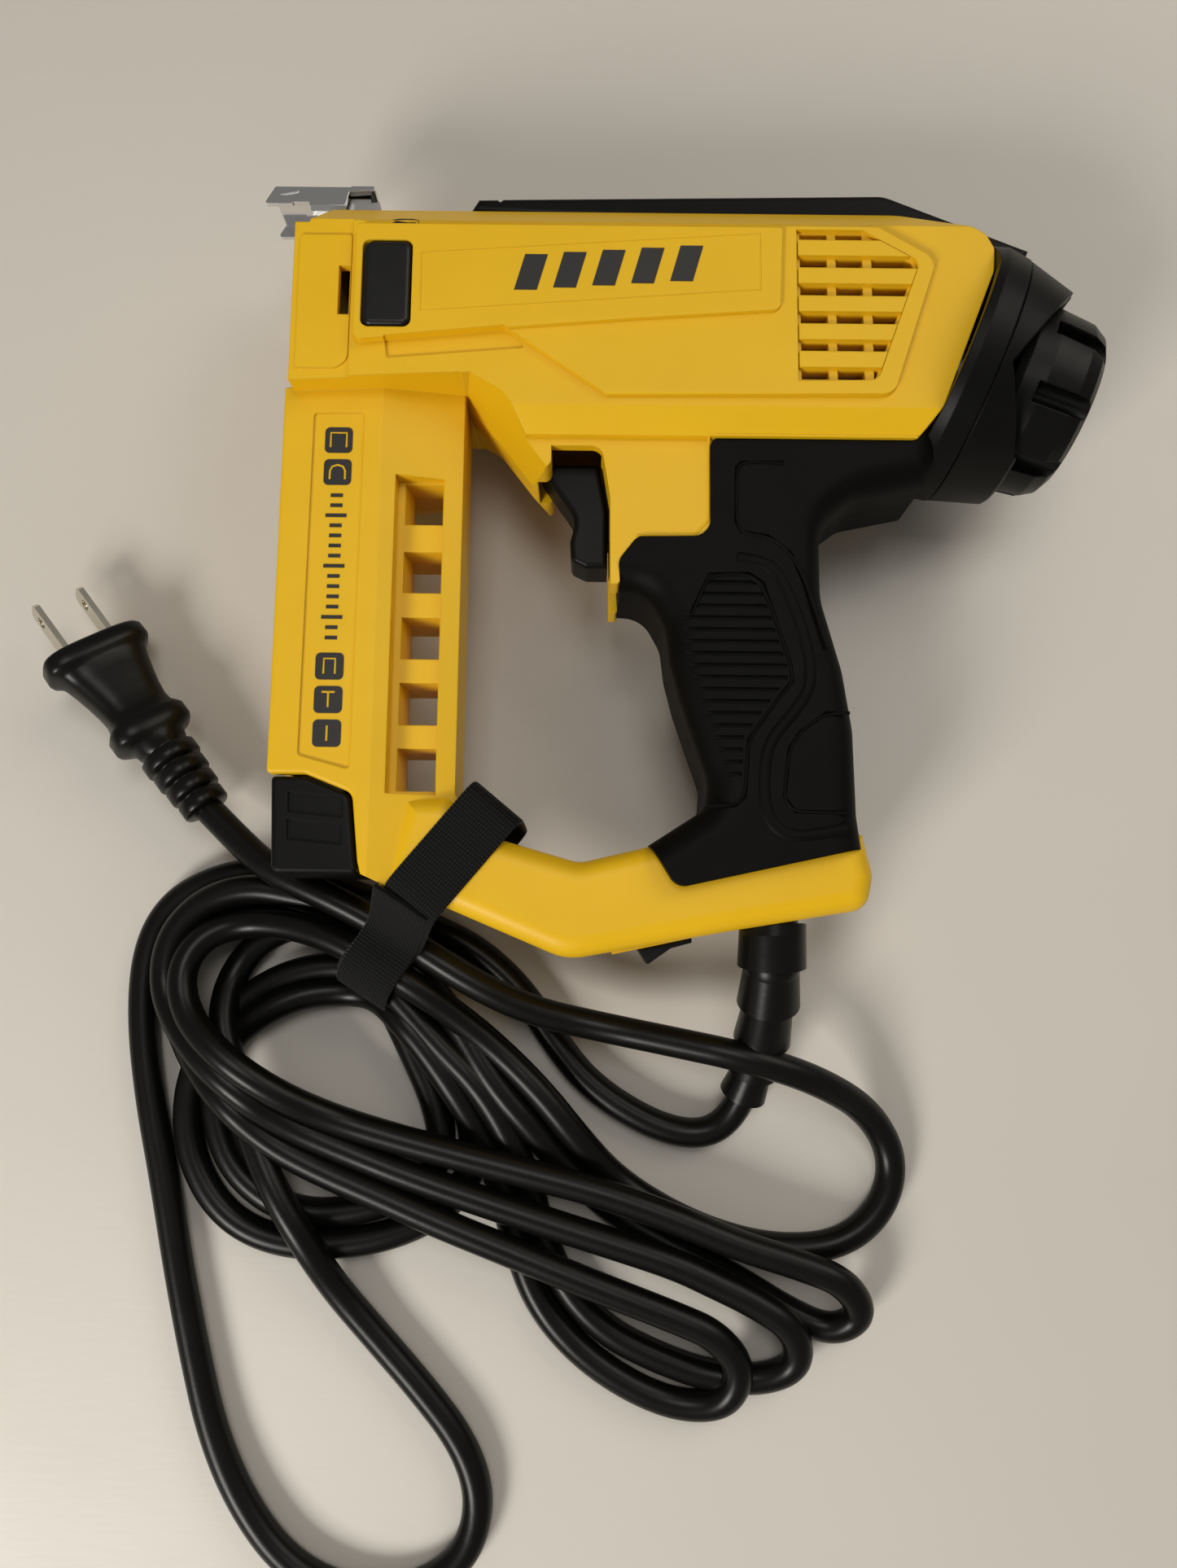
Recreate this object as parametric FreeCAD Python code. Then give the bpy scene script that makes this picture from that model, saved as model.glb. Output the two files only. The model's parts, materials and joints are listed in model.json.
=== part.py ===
import FreeCAD, Part
import math
import os

# Corded electric tacker (staple and brad gun), millimetres.
# It lies on its right side: +X runs from the staple exit to the power dial, +Y from the grip's heel to
# the front edge, +Z up through the left side. Half-thicknesses are heights above the mid-plane.

V = FreeCAD.Vector

# ---- driving dimensions ----
MID = 33.0              # height of the mid-plane above the resting surface
SPLIT_GAP = 0.02        # half of the air in the seam between the two shells

NOSE_X = -98.5          # working face of the nose
MAG_LEFT = -101.0       # working face of the magazine housing
MAG_RIGHT = -56.0
MAG_BOTTOM = -57.0
MAG_CREASE = -76.0
MAG_TALL = 15.0
MAG_LOW = 9.5

NOSE_H = 21.5
BODY_H = 22.5
RAISED_H = 24.0
PANEL_H = 25.0
BRIDGE_H = 17.0
BEAM_H = 14.0
GRIP_CORE_H = 14.5
GRIP_H = 18.0
FRONT_Y = 91.0

DIAL_TILT = 20.5        # the dial's axis points this far below +X
DIAL_CENTRE = V(101.4, 42.6, 0)
COLLAR_R = 33.0
RIM_R = 28.0
DIAL_R = 23.8
SEAM = -25.2            # where the collar meets the cone, along the dial's axis
SHAFT_R = 3.0
LOBES = 8
GROOVE_AT = 21.2
GROOVE_R = 2.6

STAPLE_TOP = 86.4       # where the stick stops, under the driver's line
STAPLE_BOTTOM = -18.0
DRIVER_Y = 87.4
DRIVER_T = 1.2
SOLENOID_Y = 60.0
PLUNGER_R = 8.0

YOKE = (-16.0, 41.0)
COLLAR_X = 62.5
CARRIER_X = -40.0

RIB_PITCH = 2.95
RIB_W = 0.9
SCREW_R = 1.6
SCREW_HEAD_R = 3.0
SCREW_HEAD_AT = 9.0
SCREW_REACH = 9.0
SCREWS = [(-72, 46), (-43, 37), (-62, -74), (36, -79), (58.5, 83)]
NOSE_SCREW_X = (-96.4, -90.9)
NOSE_BLOCK_H = 5.4
BUTTON_H = 25.4
PUSHER_AT = STAPLE_BOTTOM - 0.1
TRIGGER_H = 6.8
TRIGGER_LOW = -2.6
ROCKER_H = 4.8
ROCKER_PIVOT = (-4.2, -94.6)
RELIEF_X = 22.7
RELIEF_NECK = 6.4

CORD_D = 7.8
CORD_FLOOR = CORD_D / 2 + 0.1 - MID
HANK_TOP = 16.2 - MID
PLUG_ROLL = 28.0
PLUG_HEADING = 128.0
PLUG_FACE = (-160.2, -17.6, 13.5)
STRAP_W = 17.0


# ---- helpers ----
def outline(points):
    """Closed wire through (x, y) corners; a corner (x, y, r) is rounded."""
    n = len(points)
    edges = []
    ends = []
    for i in range(n):
        corner = V(points[i][0], points[i][1], 0)
        before = V(points[i - 1][0], points[i - 1][1], 0) - corner
        after = V(points[(i + 1) % n][0], points[(i + 1) % n][1], 0) - corner
        if len(points[i]) < 3:
            ends.append((corner, corner))
            continue
        half = before.getAngle(after) / 2
        reach = points[i][2] / math.tan(half)
        before.normalize()
        after.normalize()
        bisector = before + after
        bisector.normalize()
        start = corner + before * reach
        end = corner + after * reach
        middle = corner + bisector * (points[i][2] / math.sin(half) - points[i][2])
        edges.append(Part.Arc(start, middle, end).toShape())
        ends.append((start, end))
    for i in range(n):
        start = ends[i][1]
        end = ends[(i + 1) % n][0]
        if start.distanceToPoint(end) > 1e-4:
            edges.append(Part.LineSegment(start, end).toShape())
    return Part.Wire(Part.__sortEdges__(edges))


def prism(points, low, high):
    face = Part.Face(outline(points))
    face.translate(V(0, 0, low))
    return face.extrude(V(0, 0, high - low))


def box(x0, y0, z0, x1, y1, z1):
    return Part.makeBox(x1 - x0, y1 - y0, z1 - z0, V(x0, y0, z0))


def rounded(shape, radius, keep):
    """Fillet the edges whose middle point passes the test keep(point)."""
    picked = []
    for edge in shape.Edges:
        middle = edge.valueAt((edge.FirstParameter + edge.LastParameter) / 2)
        if keep(middle):
            picked.append(edge)
    return shape.makeFillet(radius, picked)


def top_rounded(shape, radius, height):
    return rounded(shape, radius, lambda p: abs(p.z - height) < 1e-3)


def both_ends_rounded(shape, radius, height):
    return rounded(shape, radius, lambda p: abs(abs(p.z) - height) < 1e-3)


def wedge(section, start, end, along="X"):
    """Prism of a (u, z) section: along X the section lies in Y and Z, along Y in X and Z."""
    if along == "X":
        points = [V(start, u, z) for u, z in section]
        push = V(end - start, 0, 0)
    else:
        points = [V(u, start, z) for u, z in section]
        push = V(0, end - start, 0)
    return Part.Face(Part.makePolygon(points + points[:1])).extrude(push)


def rod(radius, start, end):
    return Part.makeCylinder(radius, (end - start).Length, start, end - start)


def mirrored(shape):
    return shape.mirror(V(0, 0, 0), V(0, 0, 1))


def on_dial(shape):
    """Move a shape made about the X axis to the dial's tilted axis."""
    shape.rotate(V(0, 0, 0), V(0, 0, 1), -DIAL_TILT)
    shape.translate(DIAL_CENTRE)
    return shape


def revolved(profile):
    """Turn an (x, r) profile once about the X axis."""
    points = [V(x, r, 0) for x, r in profile]
    face = Part.Face(Part.makePolygon(points + points[:1]))
    return face.revolve(V(0, 0, 0), V(1, 0, 0), 360)


def spring_sleeve(radius, wire, pitch, length, start, direction):
    """Ribbed sleeve with a coil spring's size, one rib per turn, running along direction from start."""
    outer = []
    inner = []
    turns = round(length / pitch)
    for i in range(turns):
        x = i * length / turns
        outer += [(x, radius), (x + length / turns / 2, radius + wire)]
        inner += [(x, radius - wire), (x + length / turns / 2, radius - 0.2 * wire)]
    outer.append((length, radius))
    inner.append((length, radius - wire))
    sleeve = revolved(outer + inner[::-1])
    sleeve.Placement = FreeCAD.Placement(start, FreeCAD.Rotation(V(1, 0, 0), direction))
    return sleeve


# ---- side-view outlines ----
BODY = [(NOSE_X, 40), (NOSE_X, 82), (-95, 82), (-91, FRONT_Y), (55, FRONT_Y, 8), (74.5, 80, 4),
        (76.6, 76, 3),
        (76.2, 70, 3), (62.5, 34, 8), (57, 27.5, 3), (6.5, 27.5), (-37, 27.5), (-44, 27.5), (-56, 42)]
BRIDGE = [(-56, 43), (-38.5, 20, 2), (-33.5, 20, 2), (-33.5, 25.6), (-21, 25.6, 3), (-18.8, 12.5),
          (-18.6, -9.8),
          (-16.2, -9.8, 1), (-16.6, -3.6, 4), (-12.2, 2.1, 3), (5.8, 2.4, 4.5), (6.5, 27.5),
          (20, 40), (-50, 48)]
MAGAZINE = [(MAG_LEFT, 41), (MAG_LEFT, MAG_BOTTOM, 1), (-91.7, MAG_BOTTOM, 2), (-80.2, -61.6, 3),
            (-78.4, -78, 2), (-77.6, -81), (-71, -84), (-56, -87), (-50, -64), (MAG_RIGHT, -62, 2),
            (MAG_RIGHT, 43)]
BEAM = [(-74, -84.2), (-58.6, -88.2, 20), (-28.2, -100.8, 14), (13.1, -93.2, 30), (44, -88, 5),
        (45.6, -80, 6),
        (43.2, -70), (4, -70), (-8.6, -73.4, 6), (-25.4, -77.5, 8), (-46.2, -71.6, 8), (-58, -62),
        (-68, -62)]
GRIP_CORE = [(-14, 4), (-13, -6), (-7, -12, 6), (0, -24, 20), (4, -42, 20), (9, -58), (8, -66), (-2, -72),
             (4, -80), (36, -73), (35, -40, 20), (31, -20, 20), (28, -4, 8), (30, 10), (44, 20),
             (50, 26), (6.5, 26)]
HANDLE = [(-30, 45), (-24, -9.6), (-9.8, -10.6, 8), (-4.9, -19.4, 10), (-3.9, -28, 20), (-1.6, -37, 20),
          (1.6, -46.6, 20), (5.4, -57.4, 10), (4.8, -64.4, 5), (-20, -80.6), (-20, -100), (46, -100),
          (41.4, -66, 20),
          (40.9, -45, 20), (38.6, -30, 20), (33.6, -12, 20), (33.4, 7, 12), (43, 14.4, 8), (60, 18),
          (70, 45)]
GRIP_AREA = [(5.9, 27.4, 2), (5.9, 2.3, 4.4), (-12.1, 2.0, 3), (-16.3, -3.7, 4), (-16.2, -30),
             (-25, -60), (-8.9, -72.9), (-2.3, -83.7, 4), (42.6, -73.7), (80, -60), (80, 31.2),
             (60.8, 31.2),
             (57, 27.4)]
END_CAP = [(-100.2, MAG_BOTTOM - 0.5, 1), (-91.8, MAG_BOTTOM - 0.5, 2), (-80.9, -62, 3), (-79, -78, 2),
           (-78.4, -80.9, 1), (-99.2, -80.9, 2)]
VENT = [(26.9, 39.8), (46.4, 40.2, 3), (57, 70, 2), (56.4, 72.2, 3), (43.5, 79.6, 3), (26.9, 79.6)]
RAISED = [(-45.5, 53.4), (-20, 35.8), (50.3, 36.6, 4), (61.2, 70.6, 3), (59.8, 73.2, 3), (46, 81.4),
          (-17, 80),
          (-50, 77)]
PANEL = [(-82.3, 48.9, 2), (-45.6, 52.3), (-14.4, 55, 2), (22.6, 57.7, 2), (23.4, 79.6, 1),
         (-82.3, 79.6, 1)]


def front_bevel():
    """Cutter for the long slope between the left face and the front edge."""
    return wedge([(FRONT_Y + 1, 12), (FRONT_Y + 1, 40), (79.0, 40), (79.0, PANEL_H + 0.6)], -120, 95)


def yellow_body():
    body = prism(BODY, 0, BODY_H)
    body = body.fuse(prism(RAISED, BODY_H - 2, RAISED_H))
    body = body.fuse(prism(PANEL, BODY_H - 2, PANEL_H))
    under_slope = wedge([(36.4, 40), (36.4, RAISED_H), (24.5, BRIDGE_H + 0.2), (0, BRIDGE_H + 0.2),
                         (0, 40)], -60, 95)
    nose_step = box(-120, 39.5, NOSE_H, -83.6, 100, 40)
    nose_pad = prism([(-97, 43, 1), (-83.9, 43, 4), (-83.9, 78.4, 1), (-97, 78.4, 1)], NOSE_H - 1,
                     NOSE_H + 0.5)
    body = body.cut(under_slope).cut(nose_step).fuse(nose_pad)
    return body.cut(front_bevel())


def neck_slope():
    """Cutter for the steep slope from the left face down to the crest above the finger gap."""
    crest = [(-62, 40.9), (-56, 42.2), (-50.5, 34.9), (-38.5, 19.6), (-30, 8), (-62, 8)]
    crease = [(-62, 40.9), (-53.5, 42.0), (-45.3, 37.6), (-32.9, 20.6), (-24.5, 9.4), (-62, 8)]
    wires = []
    for corners, height in ((crest, 3), (crease, BODY_H + 1.5)):
        places = [V(x, y, height) for x, y in corners]
        wires.append(Part.makePolygon(places + places[:1]))
    return Part.makeLoft(wires, True, True)


def vent_openings():
    """Recessed field with six rows of slots; the bars between them stay."""
    field = prism(VENT, RAISED_H - 1.4, 40)
    rows = []
    for bottom in (40.8, 47.9, 55.4, 62.8, 70.2, 77.0):
        for left, right in ((27.9, 34.6), (36.8, 43.4), (45.7, 60)):
            rows.append(box(left, bottom, 10, right, bottom + 2.4, 40))
    slots = Part.makeCompound(rows).common(prism([(27.4, 40.3), (45.9, 40.7), (56.2, 70), (55.4, 71.8),
                                                  (43.2, 79.1), (27.4, 79.1)], 5, 45))
    return field, slots


def magazine_windows():
    cells = []
    for top in (18.2, 0.4, -16.6, -33.3, -49.8):
        cells.append(wedge([(-69.4, -1), (-71.9, 20), (-61, 20), (-61, -1)], top - 10.6, top, "Y"))
    return Part.makeCompound(cells)


def yellow_magazine():
    housing = prism(MAGAZINE, 0, MAG_TALL)
    slope = wedge([(MAG_CREASE, MAG_TALL), (MAG_RIGHT + 8, MAG_LOW - 2.2), (MAG_RIGHT + 8, 40),
                   (MAG_CREASE, 40)],
                  -100, 60, "Y")
    housing = rounded(housing.cut(slope), 1.0,
                      lambda p: abs(p.x - MAG_LEFT) < 1e-3 and p.z > 1 and abs(p.y) < 30)
    label = prism([(-93.2, 34.4, 1), (-93.6, -52.6, 1), (-81, -56, 1), (-80.6, 34.6, 1)],
                  MAG_TALL - 0.5, 40)
    channel = wedge([(-72.4, 40), (-72.4, MAG_LOW - 0.6), (-60.6, MAG_LOW - 0.6), (-60.6, 40)], -61.5,
                    18.9, "Y")
    return housing.cut(label).cut(channel)


def yellow_beam():
    beam = prism(BEAM, 0, BEAM_H)
    beam = top_rounded(beam, 5.0, BEAM_H)
    plate = prism([(-17, -97), (5, -92.6), (5.2, -94.6), (-17.2, -99.4)], 0, 7)
    return beam.fuse(plate)


def shell_cavity():
    """Everything hollow inside one half, measured up from the mid-plane."""
    body = prism([(-88, 53), (-88, 84), (-60, 88), (54, 88, 6), (72, 78, 3), (73.5, 70, 3), (60, 36, 6),
                  (54, 31),
                  (-38, 33), (-48, 46.5)], -1, 19.4)
    body = body.cut(wedge([(100, 8), (100, 40), (75, 40), (75, 23), (88.4, 10)], -120, 95))
    body = body.cut(wedge([(30, 14), (30, 40), (42, 40), (42, 19.4), (38, 19.4)], -60, 95))
    track = box(-98.3, -56, -1, -79, 82, 6.3)
    track = track.fuse(box(NOSE_X - 1, 82, -1, -36, 89.2, 6.0))
    track = track.fuse(box(NOSE_X - 1, 89.1, -1, -80, FRONT_Y + 1, NOSE_BLOCK_H + 0.1))
    cap_bay = box(-110, -75, -1, -80.2, -55, 11)
    bridge = prism([(-42, 36), (-34.8, 25.6), (-18, 24), (-16, 4), (-10, 4.6), (3.4, 4.6), (4.2, 28),
                    (4.2, 36)],
                   -1, 14)
    grip = prism([(-12, 6), (-10.5, -5), (-4.6, -13, 6), (2.6, -25, 20), (7, -42, 20), (12, -58), (11, -66),
                  (4, -72), (6, -77), (32, -72), (32, -40, 20), (28, -20, 20), (25, -4, 8), (26, 10),
                  (26, 24),
                  (-10, 24)], -1, 11.5)
    beam = prism([(-22, -95, 4), (-28, -95.5, 4), (-52, -85.6), (-46, -75.5), (-25.6, -80.8), (-8, -76),
                  (4, -74),
                  (30, -72), (40, -76), (41.5, -84), (28, -87.6), (13, -90), (-17, -94.8)], -1, 9.5)
    dial_bore = on_dial(rod(9.2, V(-46, 0, 0), V(-20, 0, 0)))
    return [body, track, cap_bay, bridge, grip, beam, dial_bore, trigger_slot()]


def trigger_slot():
    """Passage for the trigger's blade, cut through the shell and the rubber beside it."""
    slot = box(-24, TRIGGER_LOW - 1, -1, -13.4, 26, TRIGGER_H + 0.4)
    return slot.fuse(box(-37.1, 17, -1, -20, 26, TRIGGER_H + 0.4))


def below_guard():
    """Gap at the lower end of the yellow trigger guard, where only the rubber runs on."""
    return box(-19.5, -10.5, -1, -15.9, -1.5, 9)


def yellow_outer():
    """The left shell as if it were solid."""
    half = yellow_body().fuse(prism(BRIDGE, 0, BRIDGE_H)).cut(neck_slope())
    half = half.cut(below_guard())
    half = half.fuse(yellow_magazine()).fuse(yellow_beam())
    return half.fuse(prism(GRIP_CORE, 0, GRIP_CORE_H))


def vent_bars():
    bars = []
    for bottom in (43.4, 50.6, 58, 65.4, 72.8):
        bars.append(box(27.2, bottom, 18, 58, bottom + 4.2, RAISED_H - 0.1))
    cage = prism([(27.0, 39.9), (46.3, 40.3), (56.9, 70), (56.3, 72.1), (43.5, 79.4), (27.0, 79.4)], 15, 40)
    return Part.makeCompound(bars).common(cage)


def left_housing(outer):
    half = outer
    for hollow in shell_cavity():
        half = half.cut(hollow)
    window_walls = box(-78.6, -61, 0, MAG_RIGHT - 1, 19.5, 8.0)
    half = half.fuse(window_walls).cut(magazine_windows())
    field, slots = vent_openings()
    half = half.cut(field).fuse(vent_bars()).cut(slots)
    half = half.cut(prism([(-80.6, 52.2, 2), (-68.2, 52.2, 2), (-68.2, 75.2, 2), (-80.6, 75.2, 2)], 16, 40))
    half = half.cut(box(-86.9, 57, 10, -84.1, 70, 40))
    half = half.cut(prism([(-74.8, 50, 0.5), (-74.2, 45.5, 0.5), (-40, 48.5, 0.5), (-45, 53, 0.5)],
                          BODY_H - 0.6, 40))
    half = half.cut(rod(RELIEF_NECK, V(RELIEF_X, -80, 0), V(RELIEF_X, -100, 0)))
    half = half.cut(rod(RELIEF_NECK + 2.4, V(RELIEF_X, -91.2, 0), V(RELIEF_X, -110, 0)))
    half = half.cut(Part.makeCylinder(1.0, 8, V(ROCKER_PIVOT[0], ROCKER_PIVOT[1], 0)))
    half = half.cut(box(-12.6, -103, -1, 3.2, -86, ROCKER_H + 0.4))
    for x, y in SCREWS:
        half = half.fuse(Part.makeCylinder(SCREW_R + 2.2, 12, V(x, y, 0)))
    for x, y in SCREWS:
        half = half.cut(Part.makeCylinder(SCREW_R, SCREW_REACH + 1, V(x, y, -1)))
    return half.cut(box(-200, -200, -1, 200, 200, SPLIT_GAP))


def right_housing(left):
    """Mirror of the left half, drilled through for the screws that hold the two together."""
    half = mirrored(left)
    for x, y in SCREWS:
        half = half.cut(Part.makeCylinder(SCREW_R, 60, V(x, y, -60)))
        half = half.cut(Part.makeCylinder(SCREW_HEAD_R + 0.2, 60, V(x, y, -SCREW_HEAD_AT - 60)))
    return half


def grip_half(outer):
    """Rubber moulded over the grip core, with its ribbed field and panel grooves."""
    grip = top_rounded(prism(HANDLE, 0, GRIP_H), 7.0, GRIP_H)
    grip = grip.common(prism(GRIP_AREA, SPLIT_GAP, GRIP_H + 1)).cut(outer).cut(trigger_slot())
    grip = grip.cut(rod(RELIEF_NECK + 2.4, V(RELIEF_X, -80, 0), V(RELIEF_X, -110, 0)))
    ribs = []
    for i in range(17):
        y = -9.4 - i * RIB_PITCH
        ribs.append(box(-9, y - RIB_W / 2, GRIP_H - 7, 30, y + RIB_W / 2, GRIP_H + 1))
    field = prism([(5.2, -8.6, 2), (15.3, -8.4, 2), (18, -10.4), (24, -29.8, 2), (24.4, -33.4, 2),
                   (21.8, -36.2),
                   (13.4, -47.8, 3), (12.8, -60), (6.6, -60), (2, -46), (-2, -30), (-2.4, -20), (1.6, -15)],
                  GRIP_H - 0.7, GRIP_H + 1)
    grip = grip.cut(Part.makeCompound(ribs).common(field))
    for groove in GRIP_GROOVES:
        grip = grip.cut(channel(groove, 0.7, GRIP_H - 0.7))
    return grip


def channel(points, width, low):
    """Groove of constant width along a run of points, cut from low upwards."""
    pieces = []
    for start, end in zip(points, points[1:]):
        a = V(start[0], start[1], low)
        b = V(end[0], end[1], low)
        side = (b - a).cross(V(0, 0, 1))
        side.normalize()
        side = side * (width / 2)
        loop = [a + side, b + side, b - side, a - side, a + side]
        pieces.append(Part.Face(Part.makePolygon(loop)).extrude(V(0, 0, 12)))
        pieces.append(Part.makeCylinder(width / 2, 12, b))
    return Part.makeCompound(pieces)


GRIP_GROOVES = [
    [(1.0, -17.5), (3.6, -11.6), (5.6, -7.4), (15.4, -7.2), (18.6, -9.4), (25, -29.8), (25.4, -33.8),
     (22.8, -37),
     (14.8, -48.2), (13.8, -62), (11.4, -64.2), (5.2, -64.2)],
    [(24, 21.3), (13.6, 21.3), (12.3, 19.8), (12.1, 5.8), (13.4, 3.4), (20, 2.4), (25.4, -1.8), (29.5, -12),
     (34.6, -26.5)],
    [(40, -41.6), (33.4, -41.6), (27, -46.4), (24.4, -50.4), (23.2, -62), (25.6, -65.4), (39, -65.6)],
]


def front_strip_and_rear_cover(outer, grips):
    """Black cap: a strip along the front edge that widens into the cone behind the dial."""
    strip = prism([(-56, FRONT_Y + 0.05), (-53.6, 95.2), (-48.6, 95.3), (-48, 94.8), (-47.2, 95.4),
                   (52, 97.4, 9),
                   (89.3, 82.3), (80, 60), (60, 70), (50, 88)], -12.5, 12.5)
    strip = both_ends_rounded(strip, 1.6, 12.5)
    cone = on_dial(revolved([(-62, 21), (-62, 24.5), (-46, 29.6), (-31, COLLAR_R - 0.15),
                             (SEAM, COLLAR_R - 1.1),
                             (SEAM, COLLAR_R - 3),
                             (-46, 26.6)]))
    area = prism([(45, 88), (45, 110), (120, 110), (120, 0), (54.7, 0), (54.7, 17.5), (61.1, 31.4),
                  (62.7, 34.4),
                  (76.4, 70), (76.8, 76.2), (74.7, 80.2), (55.2, FRONT_Y + 0.05)], -40, 40)
    cover = cone.common(area)
    inside = on_dial(rod(COLLAR_R - 3, V(-42, 0, 0), V(SEAM + 1, 0, 0)))
    strip = strip.cut(inside).cut(on_dial(rod(60, V(SEAM, 0, 0), V(30, 0, 0))))
    cover = cover.fuse(strip)
    for piece in [outer, mirrored(outer)] + grips:
        cover = cover.cut(piece)
    return largest(cover)


def largest(shape):
    return max(shape.Solids, key=lambda solid: solid.Volume)


def dial_collar():
    ring = on_dial(revolved([(SEAM + 0.05, 5.0), (SEAM + 0.05, COLLAR_R - 1.8),
                             (SEAM + 0.5, COLLAR_R - 1.4),
                             (-11.5, RIM_R), (-10.8, RIM_R - 0.8), (-10.8, DIAL_R + 1.5),
                             (-20.5, DIAL_R + 1.5),
                             (-20.5, 5.0)]))
    finger_cut = [(-11, 24.8), (-22.6, -8.5), (-19.3, -13.5), (-12, -23.5), (3, -23.5), (3, 24.8)]
    for side in (-1, 1):
        cut = Part.Face(Part.makePolygon([V(x, y, 6 * side) for x, y in finger_cut + finger_cut[:1]]))
        ring = ring.cut(on_dial(cut.extrude(V(0, 0, 40 * side))))
    return ring


def power_dial():
    knob = revolved([(-19.8, SHAFT_R), (-19.8, DIAL_R - 1.2), (-17.5, DIAL_R - 0.2), (-12, DIAL_R),
                     (-3.4, DIAL_R - 0.9), (0, DIAL_R - 2.8), (1.6, DIAL_R - 5.6), (1.8, DIAL_R - 7.2),
                     (1.0, DIAL_R - 8.4), (1.0, SHAFT_R)])
    grooves = []
    for i in range(LOBES):
        groove = box(-13.5, GROOVE_AT, -GROOVE_R, 4, DIAL_R + 4, GROOVE_R)
        groove = groove.fuse(rod(GROOVE_R, V(-13.5, GROOVE_AT, 0), V(4, GROOVE_AT, 0)))
        groove.rotate(V(0, 0, 0), V(1, 0, 0), 360 / LOBES * (i + 0.5))
        grooves.append(groove)
    knob = knob.cut(Part.makeCompound(grooves))
    pointer = box(0.4, 8, -0.8, 3, 16, 0.8)
    return on_dial(knob.cut(pointer))


def nose_plate():
    """Chromed steel channel folded round the front of the nose."""
    web = prism([(-108.6, 99.4), (-107.6, 100.9), (-88, 100.9), (-87.6, 101.2), (-81.6, 101.2),
                 (-81.6, 100),
                 (-88, 99.7)], -8, 8)
    flange = prism([(-110.7, 96, 0.6), (-107.9, 100.9), (-88, 100.9), (-89.2, 95.8, 0.6), (-98.6, 95.6),
                    (-98.8, 96.6),
                    (-103, 96.6), (-103.2, 96.1)], 6.8, 8)
    lip = wedge([(95.7, 8), (94.6, 7.2), (94.2, 5.6), (95.0, 5.6), (95.7, 6.8)], -98.4, -89.2)
    side = flange.fuse(lip)
    plate = web.fuse(side).fuse(mirrored(side))
    arrow = prism([(-106.2, 98.6), (-101.6, 99.6), (-102.2, 98.6), (-101.6, 97.6)], 7.7, 9)
    plate = plate.cut(arrow)
    for x in NOSE_SCREW_X:
        plate = plate.cut(rod(1.7, V(x, 90, 0), V(x, 110, 0)))
    return plate


def nose_block():
    """Guide block that carries the plate and closes the front of the driver's slot."""
    block = box(-98.4, 89.6, -NOSE_BLOCK_H, -83, 99.3, NOSE_BLOCK_H)
    block = block.fuse(prism([(-98.4, 92), (-98.4, 95.4), (-80.8, 98.6), (-80.8, FRONT_Y + 0.05),
                              (-90.9, 91.05)],
                             -NOSE_BLOCK_H, NOSE_BLOCK_H))
    block = block.cut(rod(2.1, V(-95.4, 93.6, -10), V(-95.4, 93.6, 10)))
    for x in NOSE_SCREW_X:
        block = block.cut(rod(1.3, V(x, 96.0, 0), V(x, 110, 0)))
    return block


def nose_screws():
    screws = []
    for x in NOSE_SCREW_X:
        head = rod(2.6, V(x, 100.95, 0), V(x, 101.8, 0))
        head = head.cut(box(x - 0.4, 101.3, -3, x + 0.4, 103, 3))
        screws.append(head.fuse(rod(1.25, V(x, 96.2, 0), V(x, 101, 0))))
    return Part.makeCompound(screws)


def guide_pin():
    return rod(2.05, V(-95.4, 93.6, -NOSE_BLOCK_H), V(-95.4, 93.6, NOSE_BLOCK_H))


def release_button(side):
    """Soft-cornered pad that is pressed into the side of the nose."""
    pad = prism([(-80.2, 52.6, 2), (-68.6, 52.6, 2), (-68.6, 74.8, 2), (-80.2, 74.8, 2)], 16.4, BUTTON_H)
    pad = top_rounded(pad, 1.2, BUTTON_H)
    stem = box(-77, 58, 12.5, -72, 69, 16.5)
    pad = pad.fuse(stem)
    return pad if side > 0 else mirrored(pad)


def staple_track():
    """Steel channel that the staples' legs run along."""
    back = box(-98.2, -55.8, -6.2, -97.6, 86.6, 6.2)
    roof = box(-98.2, -55.8, 5.7, -81.5, 81.8, 6.2)
    return back.cut(box(-99, 82, -5.4, -97, 90, 5.4)).fuse(roof).fuse(mirrored(roof))


def staple_stick():
    crown = box(-83.2, STAPLE_BOTTOM, -5.5, -82.0, STAPLE_TOP, 5.5)
    leg = box(-97.2, STAPLE_BOTTOM, 4.3, -82.0, STAPLE_TOP, 5.5)
    return crown.fuse(leg).fuse(mirrored(leg))


def pusher():
    """Block that straddles the rail and pushes the stick towards the driver."""
    block = box(-96.8, PUSHER_AT - 12, -4.9, -82.4, PUSHER_AT, 4.9)
    block = block.cut(box(-95.2, PUSHER_AT - 20, -3.7, -84.4, PUSHER_AT + 20, 3.7))
    return block.fuse(box(-91.6, PUSHER_AT - 12, -2.2, -84.0, PUSHER_AT - 9, 2.2))


def magazine_rail():
    """Folded rail that the pusher slides on; it comes out with the end cap."""
    rail = box(-95.0, -70, -3.5, -84.6, 80, 3.5)
    return rail.cut(box(-94.2, -72, -2.7, -83, 79, 2.7))


def pusher_spring():
    return spring_sleeve(2.0, 0.3, 2.4, 44.2, V(-89.4, -74.8, 0), V(0, 1, 0))


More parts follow.
